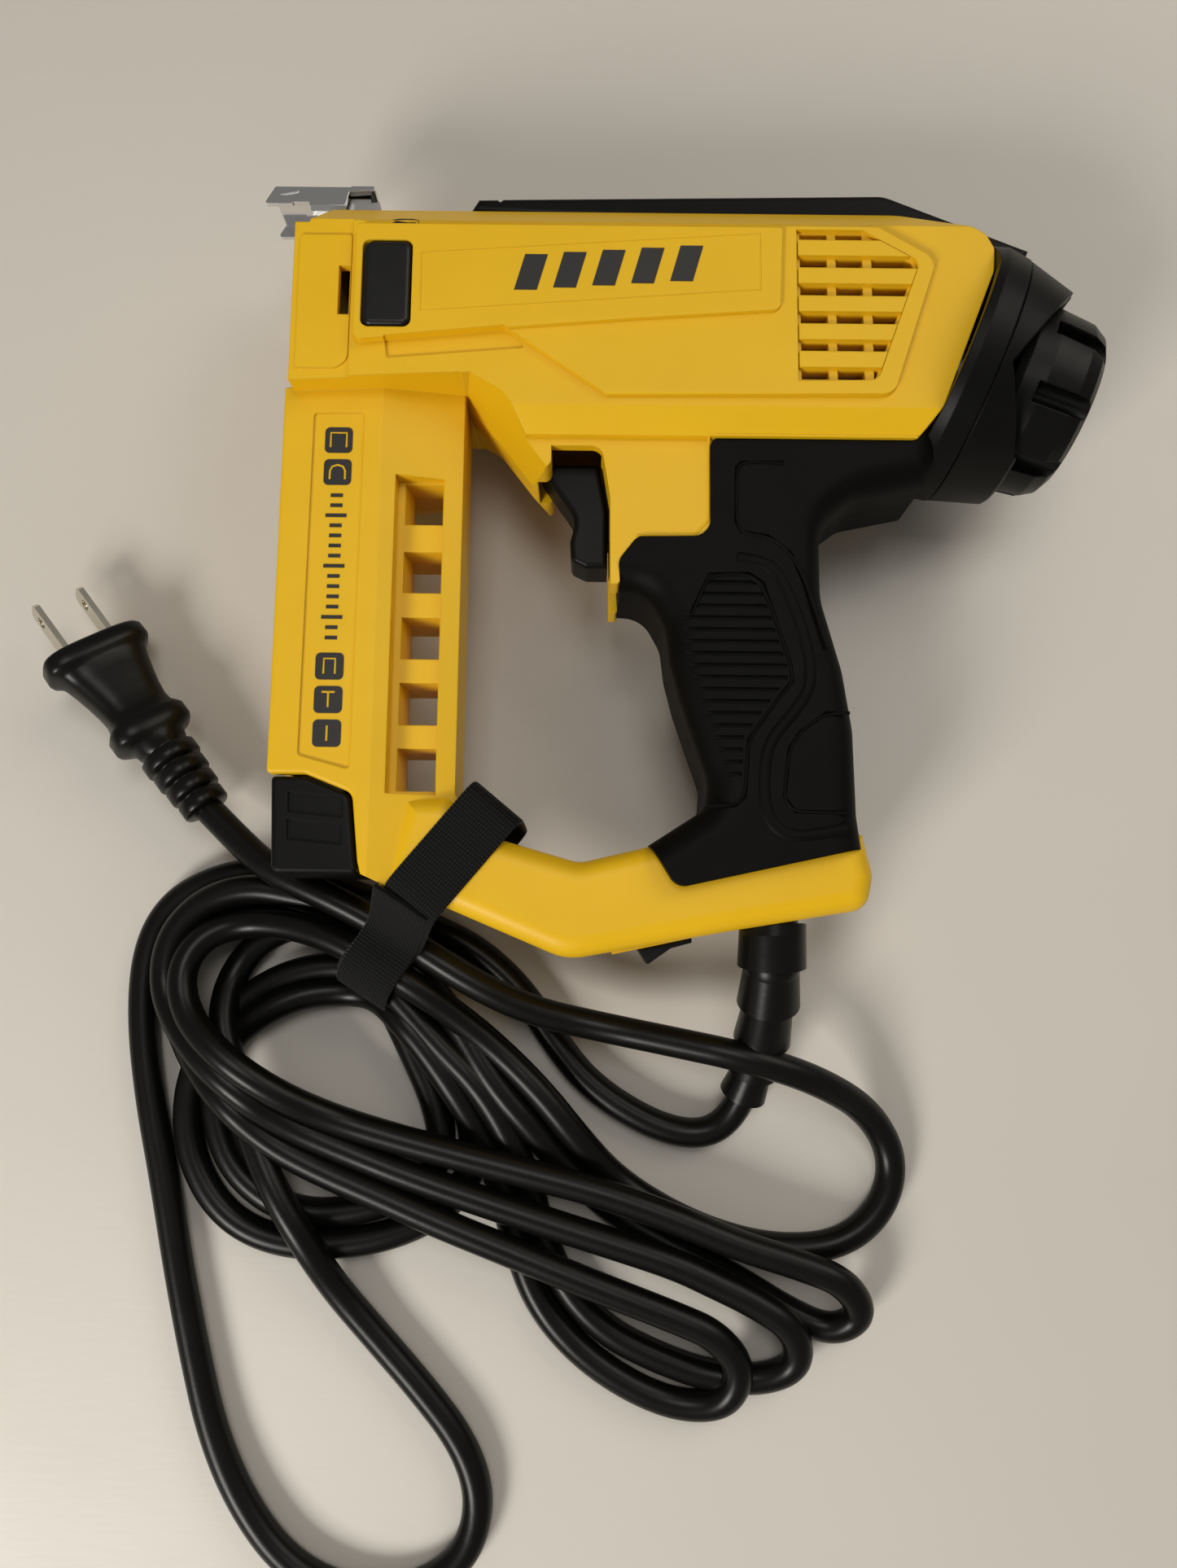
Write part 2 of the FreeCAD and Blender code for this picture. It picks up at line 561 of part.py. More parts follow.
def end_cap():
    cap = prism(END_CAP, -13.5, 13.5)
    cap = both_ends_rounded(cap, 1.2, 13.5)
    cap = cap.cut(box(-95.05, -75, -3.55, -84.55, -50, 3.55))
    for top in (-61.2, -67.8):
        grip = [(-95.8, top - 0.2), (-82.8, top - 1.4), (-82.6, top - 6.2), (-95.6, top - 5.0)]
        for side in (-1, 1):
            recess = prism(grip, 12.9, 15) if side > 0 else mirrored(prism(grip, 12.9, 15))
            cap = cap.cut(recess)
    return cap


def solenoid_yoke():
    x0, x1 = YOKE
    frame = box(x0, SOLENOID_Y - 19, -16, x1, SOLENOID_Y + 19, 16)
    frame = frame.cut(box(x0 + 3, SOLENOID_Y - 16, -20, x1 - 3, SOLENOID_Y + 16, 20))
    return frame.cut(rod(PLUNGER_R + 2.2, V(x0 - 5, SOLENOID_Y, 0), V(x1 + 5, SOLENOID_Y, 0)))


def solenoid_bobbin():
    x0, x1 = YOKE[0] + 3.1, YOKE[1] - 3.1
    profile = [(x0, PLUNGER_R + 0.15), (x0, 15.8), (x0 + 1.5, 15.8), (x0 + 1.5, PLUNGER_R + 1.6),
               (x1 - 1.5, PLUNGER_R + 1.6), (x1 - 1.5, 15.8), (x1, 15.8), (x1, PLUNGER_R + 0.15)]
    bobbin = revolved(profile)
    bobbin.translate(V(0, SOLENOID_Y, 0))
    return bobbin


def solenoid_coil():
    x0, x1 = YOKE[0] + 4.7, YOKE[1] - 4.7
    coil = revolved([(x0, PLUNGER_R + 1.7), (x0, 15.2), (x1, 15.2), (x1, PLUNGER_R + 1.7)])
    coil.translate(V(0, SOLENOID_Y, 0))
    return coil


def plunger():
    """Soft-iron core with its collar and the pin that carries the driver."""
    core = revolved([(8, 0), (8, PLUNGER_R - 1), (9, PLUNGER_R), (COLLAR_X, PLUNGER_R), (COLLAR_X, 10.6),
                     (COLLAR_X + 2.6, 10.6), (COLLAR_X + 2.6, 0)])
    pin = revolved([(CARRIER_X - 2, 0), (CARRIER_X - 2, 2.6), (8.5, 2.6), (8.5, 0)])
    core = core.fuse(pin)
    core.translate(V(0, SOLENOID_Y, 0))
    return core


def return_spring():
    return spring_sleeve(9.4, 0.6, 4.4, COLLAR_X - YOKE[1] - 0.2, V(YOKE[1] + 0.1, SOLENOID_Y, 0),
                         V(1, 0, 0))


def driver():
    """Carrier arm on the plunger's pin, and the flat blade that strikes the staple."""
    arm = box(CARRIER_X - 1.9, SOLENOID_Y - 5, -5, CARRIER_X + 2, DRIVER_Y + DRIVER_T, 5)
    arm = arm.cut(rod(2.62, V(-60, SOLENOID_Y, 0), V(0, SOLENOID_Y, 0)))
    return arm.fuse(box(-81.4, DRIVER_Y, -4.9, CARRIER_X, DRIVER_Y + DRIVER_T, 4.9))


def stop_bumper():
    bumper = box(-62.4, SOLENOID_Y - 6, -8, -56.6, SOLENOID_Y + 6, 8)
    return bumper.cut(rod(3.4, V(-70, SOLENOID_Y, 0), V(-50, SOLENOID_Y, 0)))


def trigger():
    blade = prism([(-37, 25.2, 0.5), (-21.6, 25.2), (-19.3, 12.5), (-19.2, -2.2), (-24.6, -2.2, 1.5),
                   (-28.4, -0.4, 2),
                   (-28.8, 4.6, 4), (-27.2, 10.6, 7), (-35.6, 22.6, 6)], -TRIGGER_H, TRIGGER_H)
    blade = both_ends_rounded(blade, 1.4, TRIGGER_H)
    return blade.fuse(box(-20.5, 5.2, -4, -8.5, 22, 4))


def trigger_spring():
    return spring_sleeve(2.4, 0.35, 1.9, 11.2, V(-8.2, 18, 0), V(1, 0, 0))


def trigger_switch():
    body = box(-2.8, 5, -7, 3.2, 14.6, 7)
    return body.fuse(box(-3.3, 8, -1.5, -2.8, 11, 1.5))


def spring_seat():
    return box(3.3, 15.2, -6, 4.1, 21.5, 6)


def power_rocker():
    """Wedge that rocks about a pin across the heel; its tip stands below the bezel."""
    wedge_piece = prism([(-10.9, -98.1), (-8.6, -101.8, 0.4), (-2.9, -97.8), (2.2, -96.4), (2.2, -92.6, 1),
                         (-10.6, -92.6, 1)], -ROCKER_H + 0.3, ROCKER_H - 0.3)
    return wedge_piece.cut(Part.makeCylinder(1.05, 20, V(ROCKER_PIVOT[0], ROCKER_PIVOT[1], -10)))


def rocker_pin():
    return Part.makeCylinder(1.0, 14, V(ROCKER_PIVOT[0], ROCKER_PIVOT[1], -7))


def rocker_switch():
    return box(-12, -90.8, -7.5, 3, -83, 7.5)


def circuit_board():
    board = box(12, -68, -0.8, 28, -20, 0.8)
    parts = [box(15, -62, 0.8, 24, -52, 7), rod(3.2, V(17, -30, 0.5), V(17, -30, 9)),
             box(20, -44, 0.8, 26, -36, 5)]
    for piece in parts:
        board = board.fuse(piece)
    return board


def potentiometer():
    pot = revolved([(-33, 3.06), (-33, 8.5), (-25.6, 8.5), (-25.6, 4.9), (-21, 4.9), (-21, 3.06)])
    return on_dial(pot)


def dial_shaft():
    return on_dial(rod(SHAFT_R, V(-32.5, 0, 0), V(0.9, 0, 0)))


def housing_screws():
    screws = []
    for x, y in SCREWS:
        screw = Part.makeCylinder(SCREW_R - 0.02, SCREW_HEAD_AT + SCREW_REACH - 0.5,
                                  V(x, y, -SCREW_HEAD_AT))
        head = Part.makeCylinder(SCREW_HEAD_R, 2.2, V(x, y, -SCREW_HEAD_AT - 2.2))
        head = head.cut(box(x - 1.8, y - 0.35, -SCREW_HEAD_AT - 3, x + 1.8, y + 0.35, -SCREW_HEAD_AT - 1.2))
        head = head.cut(box(x - 0.35, y - 1.8, -SCREW_HEAD_AT - 3, x + 0.35, y + 1.8, -SCREW_HEAD_AT - 1.2))
        screws.append(screw.fuse(head))
    return Part.makeCompound(screws)


# ---- cord ----
RELIEF_PATH = [(RELIEF_X, -93.0, 0), (RELIEF_X, -101.8, -1.8), (RELIEF_X, -111, -8),
               (RELIEF_X - 0.6, -120.4, -15.4),
               (RELIEF_X - 2.2, -128.6, -21.4), (RELIEF_X - 4.4, -135.4, -25.2)]
LEAD_ROUTE = [RELIEF_PATH[-1], (15.6, -142.4, -28.0), (7.2, -147.2, CORD_FLOOR)]
HANK = [(-124.5, -76.4, 12), (-141, -88, 20), (-145.5, -114, 20), (-128, -193, 60), (-118, -228, 40),
        (-102, -253, 20), (-78, -262.5, 20), (-51, -254, 20), (-43.6, -226, 20), (-50, -205, 20),
        (-58, -186, 8),
        (-42, -183, 8), (-24, -209, 20), (-2, -218.5, 12), (15, -216.4, 10), (21.6, -205, 8),
        (36, -200, 10),
        (50, -192, 10), (44, -179, 6), (56, -172.6, 20), (64.4, -156, 16), (59, -138, 16), (44, -128, 12),
        (37, -126), (37, -154), (8, -154), (8, -122), (-49, -104.5, 20), (-76, -82, 10), (-98.6, -75.9, 10)]
PLUG_LEAD_ROUTE = [(-108.4, -80.6, 9.0 - MID), (-117.4, -71.2, 12.0 - MID),
                   (-125.7, -61.7, PLUG_FACE[2] - MID)]


def tube(route):
    """Round tube along straight runs joined by tangent arcs, as wide as the cord."""
    points = [V(*p) for p in route]
    edges = []
    last = points[0]
    for i in range(1, len(points) - 1):
        before = points[i - 1] - points[i]
        after = points[i + 1] - points[i]
        turn = math.pi - before.getAngle(after)
        radius = 0.45 * min(before.Length, after.Length) / math.tan(turn / 2)
        print("bend radius", round(radius, 1))
        reach = radius * math.tan(turn / 2)
        before.normalize()
        after.normalize()
        bisector = before + after
        bisector.normalize()
        start = points[i] + before * reach
        end = points[i] + after * reach
        middle = points[i] + bisector * (radius / math.cos(turn / 2) - radius)
        edges.append(Part.LineSegment(last, start).toShape())
        edges.append(Part.Arc(start, middle, end).toShape())
        last = end
    edges.append(Part.LineSegment(last, points[-1]).toShape())
    path = Part.Wire(edges)
    section = Part.Wire(Part.makeCircle(CORD_D / 2, points[0], points[1] - points[0]))
    solid = path.makePipeShell([section], True, False)
    print("tube volume over section x length",
          round(solid.Volume / (math.pi * CORD_D ** 2 / 4 * path.Length), 4))
    return solid


def strain_relief():
    """Tapered sleeve of stepped rings, bending from the heel down to the surface it lies on."""
    points = [V(*p) for p in RELIEF_PATH]
    sleeve = rod(RELIEF_NECK - 0.1, V(RELIEF_X, -86.5, 0), V(RELIEF_X, -94.0, 0))
    sleeve = sleeve.fuse(rod(8.3, V(RELIEF_X, -91.4, 0), V(RELIEF_X, -94.6, 0)))
    for i in range(len(points) - 1):
        radius = 8.6 - i * 0.6
        start, end = points[i], points[i + 1]
        flare = 1.1 if i else 0.3
        ring = Part.makeCone(radius - flare, radius, (end - start).Length, start, end - start)
        sleeve = sleeve.fuse(ring)
        if i:
            sleeve = sleeve.fuse(Part.makeSphere(radius - 1.0, start))
    return sleeve


def plug_frame(shape):
    """Place a piece made with the blades along +X at the plug's place on the floor."""
    shape.rotate(V(0, 0, 0), V(1, 0, 0), PLUG_ROLL)
    shape.rotate(V(0, 0, 0), V(0, 0, 1), PLUG_HEADING)
    shape.translate(V(PLUG_FACE[0], PLUG_FACE[1], PLUG_FACE[2] - MID))
    return shape


def plug_body():
    flange = both_ends_rounded(prism([(-6, -14.6, 2), (0, -14.6, 2), (0, 14.6, 2), (-6, 14.6, 2)], -8,
                                     8), 1.5, 8)
    waist = both_ends_rounded(prism([(-28, -9), (-3, -11), (-3, 11), (-28, 9)], -6.8, 6.8), 1.5, 6.8)
    heel = both_ends_rounded(prism([(-32, -11, 2), (-26, -11, 2), (-26, 11, 2), (-32, 11, 2)], -7.6,
                                   7.6), 1.5, 7.6)
    body = flange.fuse(waist).fuse(heel)
    body = body.fuse(Part.makeCylinder(6.4, 3, V(-34.5, 0, 0), V(1, 0, 0)))
    for i in range(5):
        radius = 7.4 - 0.5 * i
        body = body.fuse(Part.makeCone(radius - 0.7, radius, 3.4, V(-34.4 - 4.6 * i, 0, 0), V(-1, 0, 0)))
    body = body.fuse(Part.makeCone(6.0, 4.6, 22.4, V(-33.5, 0, 0), V(-1, 0, 0)))
    for side in (-1, 1):
        body = body.cut(box(-10, side * 6.35 - 0.78, -3.2, 1, side * 6.35 + 0.78, 3.2))
    return plug_frame(body)


def plug_blades():
    blades = []
    for side in (-1, 1):
        blade = box(-10, side * 6.35 - 0.76, -3.16, 16.6, side * 6.35 + 0.76, 3.16)
        blade = blade.makeChamfer(1.2, [e for e in blade.Edges if abs(e.CenterOfMass.x - 16.6) < 0.01
                                        and abs(abs(e.CenterOfMass.z) - 3.16) < 0.01])
        blades.append(blade.cut(rod(1.6, V(12, -20, 0), V(12, 20, 0))))
    return plug_frame(Part.makeCompound(blades))


def strap():
    """Hook-and-loop band, once round the heel beam and over the bundled cord."""
    ring = [(-13, -16.5), (-13, 15.4), (19.8, 15.4), (34, -14.5), (45, -14.5), (45, -16.5)]
    hole = [(-11.8, -15.4), (-11.8, 14.3), (19.1, 14.3), (33.2, -15.4)]
    loop = [V(x, 0, z) for x, z in ring + ring[:1]]
    inner = [V(x, -1, z) for x, z in hole + hole[:1]]
    band = Part.Face(Part.makePolygon(loop)).extrude(V(0, STRAP_W, 0))
    band = band.cut(Part.Face(Part.makePolygon(inner)).extrude(V(0, STRAP_W + 2, 0)))
    band.translate(V(0, -STRAP_W / 2, 0))
    band.rotate(V(0, 0, 0), V(0, 0, 1), -128.4)
    band.translate(V(-50.3, -75.2, 0))
    return band


def cord_hank():
    return prism(HANK, 0.05 - MID, HANK_TOP)


def build():
    nodes = {}
    outer = yellow_outer()
    left = left_housing(outer)
    nodes["left_housing"] = left
    nodes["right_housing"] = right_housing(left)
    grip = grip_half(outer)
    nodes["left_grip"] = grip
    nodes["right_grip"] = mirrored(grip)
    nodes["rear_cover"] = front_strip_and_rear_cover(outer, [nodes["left_grip"], nodes["right_grip"]])
    nodes["dial_collar"] = dial_collar()
    nodes["power_dial"] = power_dial()
    nodes["dial_shaft"] = dial_shaft()
    nodes["potentiometer"] = potentiometer()
    nodes["nose_plate"] = nose_plate()
    nodes["nose_block"] = nose_block()
    nodes["nose_screws"] = nose_screws()
    nodes["guide_pin"] = guide_pin()
    nodes["left_release_button"] = release_button(1)
    nodes["right_release_button"] = release_button(-1)
    nodes["staple_track"] = staple_track()
    nodes["staple_stick"] = staple_stick()
    nodes["pusher"] = pusher()
    nodes["pusher_spring"] = pusher_spring()
    nodes["magazine_rail"] = magazine_rail()
    nodes["end_cap"] = end_cap()
    nodes["solenoid_yoke"] = solenoid_yoke()
    nodes["solenoid_bobbin"] = solenoid_bobbin()
    nodes["solenoid_coil"] = solenoid_coil()
    nodes["plunger"] = plunger()
    nodes["return_spring"] = return_spring()
    nodes["driver"] = driver()
    nodes["stop_bumper"] = stop_bumper()
    nodes["trigger"] = trigger()
    nodes["trigger_spring"] = trigger_spring()
    nodes["trigger_switch"] = trigger_switch()
    nodes["spring_seat"] = spring_seat()
    nodes["power_rocker"] = power_rocker()
    nodes["rocker_pin"] = rocker_pin()
    nodes["rocker_switch"] = rocker_switch()
    nodes["circuit_board"] = circuit_board()
    nodes["housing_screws"] = housing_screws()
    nodes["strain_relief"] = strain_relief()
    nodes["cord_lead"] = tube(LEAD_ROUTE)
    nodes["cord_hank"] = cord_hank()
    nodes["plug_lead"] = tube(PLUG_LEAD_ROUTE)
    nodes["plug_body"] = plug_body()
    nodes["plug_blades"] = plug_blades()
    nodes["strap"] = strap()
    return nodes


if __name__ == "__main__":
    os.makedirs("parts", exist_ok=True)
    for name, shape in build().items():
        shape.translate(V(0, 0, MID))
        b = shape.BoundBox
        print(name, shape.isValid(), len(shape.Solids), round(shape.Volume),
              [round(v, 1) for v in (b.XMin, b.YMin, b.ZMin, b.XMax, b.YMax, b.ZMax)])
        shape.exportStep("parts/" + name + ".step")
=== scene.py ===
"""Corded electric tacker lying on its side, with its strapped cord and plug, on a pale floor."""

import json
import math

import bmesh
import bpy
from mathutils import Matrix, Vector
from mathutils.bvhtree import BVHTree


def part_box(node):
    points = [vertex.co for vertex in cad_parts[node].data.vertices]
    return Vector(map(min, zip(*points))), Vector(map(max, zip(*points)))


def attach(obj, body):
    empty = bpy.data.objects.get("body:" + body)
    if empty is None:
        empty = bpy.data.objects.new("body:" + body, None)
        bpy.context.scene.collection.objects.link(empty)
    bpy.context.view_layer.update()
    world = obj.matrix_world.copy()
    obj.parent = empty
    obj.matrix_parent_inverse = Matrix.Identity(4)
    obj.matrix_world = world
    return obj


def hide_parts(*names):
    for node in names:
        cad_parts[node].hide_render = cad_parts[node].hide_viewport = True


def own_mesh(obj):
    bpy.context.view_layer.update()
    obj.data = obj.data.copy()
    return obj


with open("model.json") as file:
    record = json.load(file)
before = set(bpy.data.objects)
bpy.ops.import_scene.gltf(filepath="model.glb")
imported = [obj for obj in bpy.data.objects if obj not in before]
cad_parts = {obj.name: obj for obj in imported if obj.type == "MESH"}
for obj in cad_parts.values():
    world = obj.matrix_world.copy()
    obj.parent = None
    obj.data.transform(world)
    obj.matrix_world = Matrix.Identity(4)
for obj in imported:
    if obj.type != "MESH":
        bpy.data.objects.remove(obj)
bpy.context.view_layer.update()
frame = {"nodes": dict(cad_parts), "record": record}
SCENE = bpy.context.scene
SCENE.view_settings.view_transform = "Standard"
MM = 0.001

CORD_D = 7.8 * MM
STRAP_W = 15.0 * MM
STRAP_THICK = 1.1 * MM
BAND_STEPS = 6
DECAL_LIFT = 0.02
RAY_START = 200


def mm(*numbers):
    return Vector(numbers) * MM


# ---- materials ----
class Tree:
    """A Principled shader whose colour, roughness and surface come from noise on the object itself."""

    def __init__(self, name):
        self.material = bpy.data.materials.new(name)
        self.material.use_nodes = True
        self.nodes = self.material.node_tree.nodes
        self.links = self.material.node_tree.links
        self.shader = self.nodes["Principled BSDF"]
        self.place = self.nodes.new("ShaderNodeTexCoord").outputs["Object"]

    def put(self, kind, **settings):
        node = self.nodes.new(kind)
        for key, value in settings.items():
            if hasattr(node, key):
                setattr(node, key, value)
            else:
                node.inputs[key.replace("_", " ")].default_value = value
        return node

    def join(self, start, end):
        self.links.new(start, end)

    def noise(self, scale, detail=3.0, stretch=None):
        node = self.put("ShaderNodeTexNoise", Scale=scale, Detail=detail)
        start = self.place
        if stretch:
            mapping = self.put("ShaderNodeMapping")
            mapping.inputs["Scale"].default_value = stretch
            self.join(start, mapping.inputs["Vector"])
            start = mapping.outputs["Vector"]
        self.join(start, node.inputs["Vector"])
        return node.outputs["Fac"]

    def spread(self, fac, low, high):
        node = self.put("ShaderNodeMapRange")
        node.inputs["To Min"].default_value = low
        node.inputs["To Max"].default_value = high
        self.join(fac, node.inputs["Value"])
        return node.outputs["Result"]

    def blend(self, fac, first, second):
        node = self.put("ShaderNodeMix", data_type="RGBA")
        # inputs 6 and 7 are the node's two colours, and output 2 is the mixed one
        for socket, value in ((node.inputs[6], first), (node.inputs[7], second)):
            socket.default_value = (*value, 1)
        self.join(fac, node.inputs[0])
        return node.outputs[2]

    def bump(self, height, strength, distance, normal=None):
        node = self.put("ShaderNodeBump", Strength=strength, Distance=distance)
        self.join(height, node.inputs["Height"])
        if normal is not None:
            self.join(normal, node.inputs["Normal"])
        return node.outputs["Normal"]


def material(name, dark, light, rough, rough_spread=0.05, grain=2600.0, strength=0.1, distance=0.1,
             metal=0.0, edge=0.35, specular=0.5, cloud=60.0, stretch=None):
    """edge is the radius in mm that sharp edges look rounded by; distance is the grain's depth in mm."""
    tree = Tree(name)
    shader = tree.shader
    shader.inputs["Metallic"].default_value = metal
    shader.inputs["Specular IOR Level"].default_value = specular
    clouds = tree.noise(cloud)
    tree.join(tree.blend(clouds, dark, light), shader.inputs["Base Color"])
    smudges = tree.noise(cloud * 2.3, 5.0)
    tree.join(tree.spread(smudges, rough - rough_spread, rough + rough_spread), shader.inputs["Roughness"])
    normal = None
    if edge:
        bevel = tree.put("ShaderNodeBevel", samples=4)
        bevel.inputs["Radius"].default_value = edge * MM
        normal = bevel.outputs["Normal"]
    grained = tree.bump(tree.noise(grain, 2.0, stretch), strength, distance * MM, normal)
    tree.join(grained, shader.inputs["Normal"])
    return tree.material


MATERIALS = {
    "yellow_shell": material("yellow_abs", (0.76, 0.445, 0.005), (0.83, 0.49, 0.008), 0.42, grain=2200,
                             strength=0.16, edge=0.5, specular=0.3),
    "grip_rubber": material("black_rubber", (0.0018, 0.0017, 0.0015), (0.0036, 0.0034, 0.003), 0.54,
                            grain=2600,
                            strength=0.2, edge=0.4, specular=0.08),
    "black_plastic": material("black_abs", (0.002, 0.002, 0.0018), (0.004, 0.004, 0.0036), 0.42, grain=2000,
                              strength=0.16, edge=0.5, specular=0.14),
    "dial_plastic": material("dial_black", (0.002, 0.002, 0.0018), (0.004, 0.004, 0.0036), 0.36, grain=1800,
                             strength=0.1, edge=0.6, specular=0.16),
    "button_plastic": material("gloss_black", (0.004, 0.004, 0.004), (0.007, 0.007, 0.007), 0.33,
                               grain=1500,
                               strength=0.12, edge=0.5, specular=0.3),
    "zinc_steel": material("zinc_plated_steel", (0.42, 0.42, 0.42), (0.52, 0.52, 0.5), 0.34, metal=1.0,
                           grain=900, strength=0.1, edge=0.2, stretch=(1, 12, 1)),
    "nose_chrome": material("chromed_steel", (0.72, 0.73, 0.74), (0.8, 0.8, 0.8), 0.13, metal=1.0,
                            rough_spread=0.04, grain=700, strength=0.03, edge=0.3, stretch=(1, 14, 1)),
    "spring_steel": material("spring_steel", (0.3, 0.3, 0.31), (0.42, 0.42, 0.42), 0.3, metal=1.0, edge=0),
    "bobbin_nylon": material("natural_nylon", (0.55, 0.52, 0.45), (0.62, 0.6, 0.52), 0.5, edge=0.2),
    "copper_wire": material("enamelled_copper", (0.55, 0.2, 0.08), (0.7, 0.3, 0.13), 0.3, metal=1.0,
                            grain=1400, strength=0.5, distance=0.3, edge=0, stretch=(6, 1, 1)),
    "board_laminate": material("board_green", (0.02, 0.12, 0.05), (0.03, 0.17, 0.07), 0.45, edge=0.1),
    "cord_pvc": material("black_pvc", (0.0025, 0.0024, 0.002), (0.005, 0.0048, 0.004), 0.32,
                         rough_spread=0.06,
                         grain=700, strength=0.12, distance=0.15, edge=0, specular=0.2, cloud=40.0),
    "blade_nickel": material("nickel_plated_brass", (0.6, 0.55, 0.46), (0.7, 0.66, 0.57), 0.24, metal=1.0,
                             grain=800, strength=0.06, edge=0.2, stretch=(1, 1, 9)),
}


def woven_nylon():
    """Narrow webbing: u runs across the band and v along it, both in metres."""
    tree = Tree("woven_nylon")
    tree.place = tree.nodes["Texture Coordinate"].outputs["UV"]
    shader = tree.shader
    shader.inputs["Specular IOR Level"].default_value = 0.12
    shader.inputs["Sheen Weight"].default_value = 0.06
    shader.inputs["Sheen Roughness"].default_value = 0.4
    waves = []
    for direction, scale in (("X", 420.0), ("Y", 330.0)):
        wave = tree.put("ShaderNodeTexWave", wave_type="BANDS", bands_direction=direction,
                        wave_profile="SIN",
                        Scale=scale, Distortion=0.6)
        tree.join(tree.place, wave.inputs["Vector"])
        waves.append(wave.outputs["Fac"])
    weave = tree.put("ShaderNodeMath", operation="MULTIPLY")
    tree.join(waves[0], weave.inputs[0])
    tree.join(waves[1], weave.inputs[1])
    woven = weave.outputs["Value"]
    tree.join(tree.blend(woven, (0.003, 0.003, 0.003), (0.02, 0.02, 0.021)), shader.inputs["Base Color"])
    tree.join(tree.spread(tree.noise(900.0), 0.68, 0.85), shader.inputs["Roughness"])
    tree.join(tree.bump(woven, 0.7, 0.3 * MM), shader.inputs["Normal"])
    return tree.material


MATERIALS["strap_nylon"] = woven_nylon()
MATERIALS["print_black"] = material("print_black", (0.010, 0.009, 0.008), (0.016, 0.014, 0.012), 0.5,
                                    grain=1500, strength=0.05, edge=0)
# near-black finish laid on gaps and notches as painted shade
MATERIALS["painted_shade_slot"] = material("painted_shade_gap", (0.003, 0.0025, 0.002), (0.006, 0.005, 0.004), 0.7, edge=0)


DRESSED_ALONE = {"trigger": "black_plastic", "power_rocker": "black_plastic"}


def dress_cad_nodes():
    for part in frame["record"]["subparts"]:
        node = frame["nodes"][part["node"]]
        node.data.materials.clear()
        node.data.materials.append(MATERIALS[DRESSED_ALONE.get(part["node"], part["material_slot"])])


dress_cad_nodes()


# ---- pieces ----
def mesh_piece(name, verts, faces, finish, body="root", smooth=False):
    mesh = bpy.data.meshes.new(name)
    mesh.from_pydata([tuple(v) for v in verts], [], faces)
    shaper = bmesh.new()
    shaper.from_mesh(mesh)
    bmesh.ops.recalc_face_normals(shaper, faces=shaper.faces)
    shaper.to_mesh(mesh)
    shaper.free()
    mesh.update()
    mesh.materials.append(MATERIALS[finish])
    for polygon in mesh.polygons:
        polygon.use_smooth = smooth
    piece = bpy.data.objects.new(name, mesh)
    SCENE.collection.objects.link(piece)
    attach(piece, body)
    return piece


def curve_piece(name, lines, diameter, finish, closed=False, order=0):
    """Round bars along lines; order above 2 makes each line a smooth spline."""
    curve = bpy.data.curves.new(name, "CURVE")
    curve.dimensions = "3D"
    curve.bevel_depth = 1.0
    curve.bevel_resolution = 5
    curve.resolution_u = 10
    curve.use_fill_caps = True
    for line in lines:
        spline = curve.splines.new("NURBS" if order > 2 else "POLY")
        spline.points.add(len(line) - 1)
        for point, place in zip(spline.points, line):
            point.co = (*place, 1)
            # the bar's own radius, times the bevel depth of 1; a curve's box is padded by it
            point.radius = diameter / 2
        spline.use_smooth = True
        if order > 2:
            spline.order_u = order
            spline.use_endpoint_u = True
        spline.use_cyclic_u = closed
    curve.materials.append(MATERIALS[finish])
    piece = bpy.data.objects.new(name, curve)
    SCENE.collection.objects.link(piece)
    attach(piece, "root")
    return piece


class Surface:
    """Where a vertical line meets the top of a CAD node."""

    def __init__(self, node):
        mesh = frame["nodes"][node].data
        self.tree = BVHTree.FromPolygons([v.co.copy() for v in mesh.vertices],
                                         [tuple(p.vertices) for p in mesh.polygons])

    def at(self, x, y, lift=0.0):
        """The point of the surface above (x, y), in mm, raised by lift mm."""
        hit = self.tree.ray_cast(mm(x, y, RAY_START), Vector((0, 0, -1)))[0]
        if hit is None:
            raise ValueError(f"nothing lies under ({x:.1f}, {y:.1f})")
        return Vector((x * MM, y * MM, hit.z + lift * MM))


SHELL = Surface("left_housing")


def decal(name, outline, finish, thick=0.12):
    """Thin plate of that outline, in mm, that lies on the left housing at each of its corners."""
    low = [SHELL.at(x, y, DECAL_LIFT) for x, y in outline]
    high = [p + mm(0, 0, thick) for p in low]
    n = len(outline)
    faces = [tuple(range(n))[::-1], tuple(range(n, 2 * n))]
    faces += [(i, (i + 1) % n, n + (i + 1) % n, n + i) for i in range(n)]
    return mesh_piece(name, low + high, faces, finish)


def rounded_box(x0, y0, x1, y1, radius, steps=4):
    points = []
    for cx, cy, start in ((x1 - radius, y1 - radius, 0), (x0 + radius, y1 - radius, 90),
                          (x0 + radius, y0 + radius, 180), (x1 - radius, y0 + radius, 270)):
        for step in range(steps + 1):
            angle = math.radians(start + 90 * step / steps)
            points.append((cx + radius * math.cos(angle), cy + radius * math.sin(angle)))
    return points


